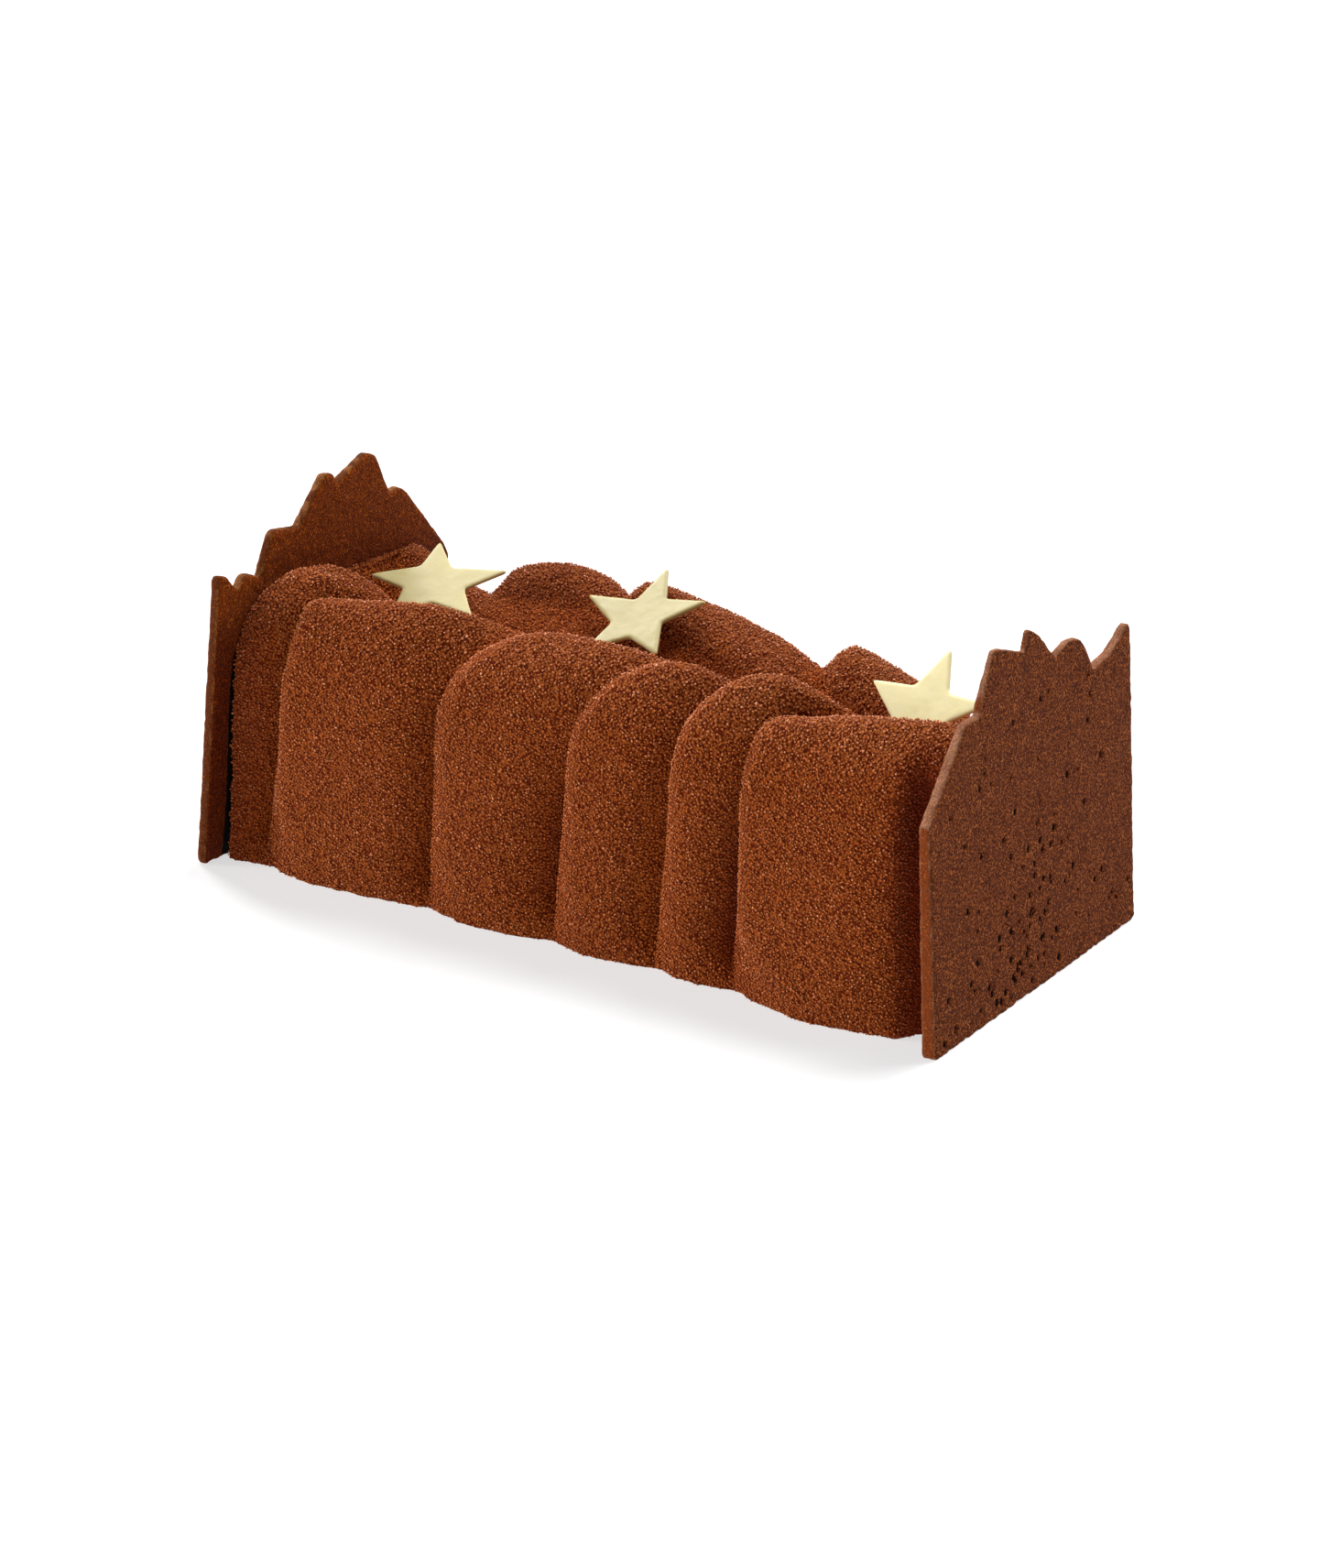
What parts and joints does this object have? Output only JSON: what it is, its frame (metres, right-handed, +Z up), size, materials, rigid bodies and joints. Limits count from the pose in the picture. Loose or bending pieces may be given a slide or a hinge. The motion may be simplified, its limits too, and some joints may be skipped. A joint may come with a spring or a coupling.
{
  "type": "yule log cake",
  "caption": "Chocolate yule log cake: lobed velvety log between upright jagged chocolate end plates, pale stars lying along the groove on top.",
  "frame": {"origin": "centre of the base of the whole cake, on the surface it stands on", "axes": "+X along the log towards the plate with the straight slanted front corner, -Y towards the front row of lobes, +Z up"},
  "size_m": [0.2329, 0.11, 0.103],
  "materials": {
    "velvet_chocolate_cream": "matte brown chocolate velvet with a fine grain, warmer in the hollows",
    "cocoa_plate": "matte chocolate slab, fine grain and small pores, dull brown",
    "pale_fondant": "smooth pale cream yellow fondant, satin"
  },
  "bodies": {
    "root": {"cake_log": "velvet_chocolate_cream", "end_plate_left": "cocoa_plate", "end_plate_right": "cocoa_plate", "star_left": "pale_fondant", "star_middle": "pale_fondant", "star_right": "pale_fondant"}
  },
  "joints": []
}
